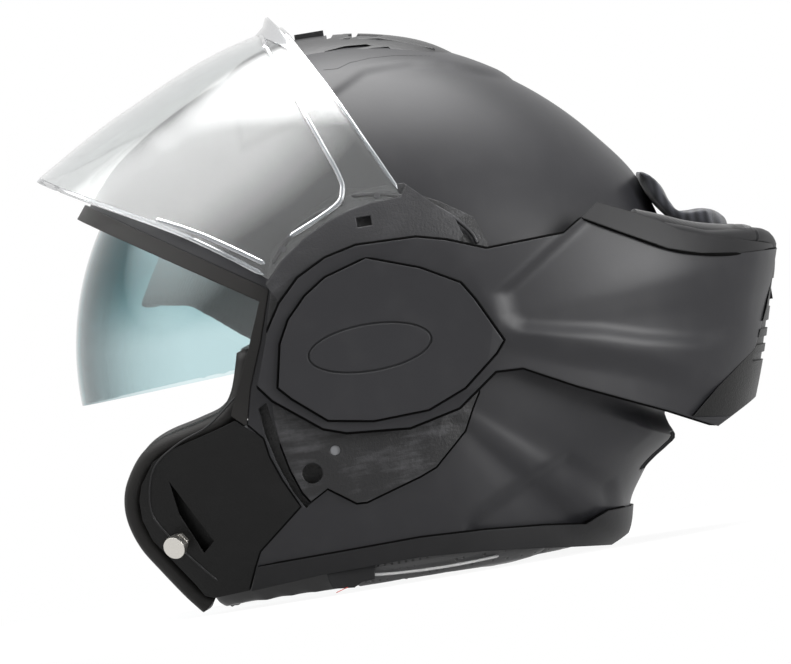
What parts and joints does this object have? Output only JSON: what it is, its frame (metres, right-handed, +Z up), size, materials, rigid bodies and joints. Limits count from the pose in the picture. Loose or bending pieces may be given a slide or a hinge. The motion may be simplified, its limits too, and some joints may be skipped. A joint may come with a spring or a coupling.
{
  "type": "modular motorcycle helmet",
  "caption": "Flip-up motorcycle helmet with hinged chin bar, clear face shield, tinted inner visor, padded liner and chin strap.",
  "frame": {"origin": "under the middle of the whole helmet, on the plane it rests on", "axes": "+X from the face to the back of the head, +Y to the wearer's right, +Z up"},
  "size_m": [0.3442, 0.2562, 0.2766],
  "materials": {
    "outer_shell": "satin black paint over composite",
    "eyeport_seal": "matt rubber",
    "bottom_rim_trim": "satin black rubberised trim",
    "eps_liner": "moulded bead foam, black",
    "crown_liner": "knitted comfort fabric",
    "neck_roll": "perforated artificial leather",
    "cheek_pad": "brushed fabric and smooth leather",
    "latch_housing": "fine-grained moulding",
    "latch_pin": "turned steel",
    "base_plate": "coarse-grained moulding",
    "base_plate_screws": "blackened steel",
    "pivot_stud": "turned",
    "pivot_screws": "blackened steel",
    "top_vent_cover": "satin",
    "top_vent_slider": "satin",
    "rear_vent_grille": "moulded",
    "sun_visor": "tinted polycarbonate, blue-green",
    "sun_visor_lever": "moulded",
    "chin_strap": "polyester webbing",
    "strap_anchors": "zinc plated",
    "buckle_receiver": "pressed steel",
    "buckle_tongue": "moulded",
    "buckle_lever": "red moulding",
    "chin_bar_shell": "satin black paint",
    "chin_bar_liner": "moulded bead foam, black",
    "chin_rim_trim": "satin black rubberised trim",
    "chin_front_panel": "moulded",
    "chin_vent_slider": "moulded",
    "chin_release_button": "moulded",
    "chin_curtain": "ribbed knit",
    "pod_cover": "satin black paint",
    "face_shield": "clear polycarbonate",
    "visor_carrier": "grained moulding",
    "shield_rivets": "blackened"
  },
  "bodies": {
    "helmet": {"outer_shell": "outer_shell", "eyeport_seal": "eyeport_seal", "bottom_rim_trim": "bottom_rim_trim", "eps_liner": "eps_liner", "crown_liner": "crown_liner", "neck_roll": "neck_roll", "cheek_pad_left": "cheek_pad", "cheek_pad_right": "cheek_pad", "latch_housing_left": "latch_housing", "latch_housing_right": "latch_housing", "latch_pin_left": "latch_pin", "latch_pin_right": "latch_pin", "base_plate_left": "base_plate", "base_plate_right": "base_plate", "base_plate_screws": "base_plate_screws", "pivot_stud_left": "pivot_stud", "pivot_stud_right": "pivot_stud", "pivot_screws": "pivot_screws", "top_vent_cover": "top_vent_cover", "rear_vent_grille": "rear_vent_grille", "chin_strap_left": "chin_strap", "chin_strap_right": "chin_strap", "strap_anchors": "strap_anchors", "buckle_receiver": "buckle_receiver", "buckle_tongue": "buckle_tongue"},
    "chin_bar": {"chin_bar_shell": "chin_bar_shell", "chin_bar_liner": "chin_bar_liner", "chin_rim_trim": "chin_rim_trim", "chin_front_panel": "chin_front_panel", "chin_curtain": "chin_curtain", "pod_cover_left": "pod_cover", "pod_cover_right": "pod_cover"},
    "chin_vent": {"chin_vent_slider": "chin_vent_slider"},
    "release_button": {"chin_release_button": "chin_release_button"},
    "visor": {"face_shield": "face_shield", "visor_carrier_left": "visor_carrier", "visor_carrier_right": "visor_carrier", "shield_rivets": "shield_rivets"},
    "inner_visor": {"sun_visor": "sun_visor"},
    "inner_visor_lever": {"sun_visor_lever": "sun_visor_lever"},
    "crown_vent": {"top_vent_slider": "top_vent_slider"},
    "strap_lever": {"buckle_lever": "buckle_lever"}
  },
  "joints": [
    {"name": "chin_bar_flip", "type": "hinge", "parent": "helmet", "child": "chin_bar", "pos_m": [-0.02724, 0, 0.113], "axis": [0, -1, 0], "range_deg": [0, 206], "deforming": ["chin_curtain"]},
    {"name": "visor_tilt", "type": "hinge", "parent": "helmet", "child": "visor", "pos_m": [-0.02724, 0, 0.113], "axis": [0, -1, 0], "range_deg": [0, 45]},
    {"name": "sun_visor_retract", "type": "hinge", "parent": "helmet", "child": "inner_visor", "pos_m": [-0.02724, 0, 0.113], "axis": [0, 1, 0], "range_deg": [0, 40]},
    {"name": "sun_lever_slide", "type": "slide", "parent": "helmet", "child": "inner_visor_lever", "axis": [1, 0, 0], "range_m": [0, 0.025]},
    {"name": "crown_vent_slide", "type": "slide", "parent": "helmet", "child": "crown_vent", "axis": [1, 0, 0], "range_m": [0, 0.009]},
    {"name": "chin_vent_slide", "type": "slide", "parent": "chin_bar", "child": "chin_vent", "axis": [0, 1, 0], "range_m": [0, 0.015]},
    {"name": "release_press", "type": "slide", "parent": "chin_bar", "child": "release_button", "axis": [0, 0, -1], "range_m": [0, 0.004], "stiffness_N_per_m": 800, "springref_m": -0.002},
    {"name": "buckle_release", "type": "hinge", "parent": "helmet", "child": "strap_lever", "pos_m": [-0.00723, -0.0156, 0.0173], "axis": [1, 0, 0], "range_deg": [-30, 0], "stiffness_Nm_per_rad": 0.3, "springref_deg": 17.19}
  ],
  "couplings": [
    {"joint": "sun_lever_slide", "follows": "sun_visor_retract", "m_per_rad": 0.03567}
  ]
}
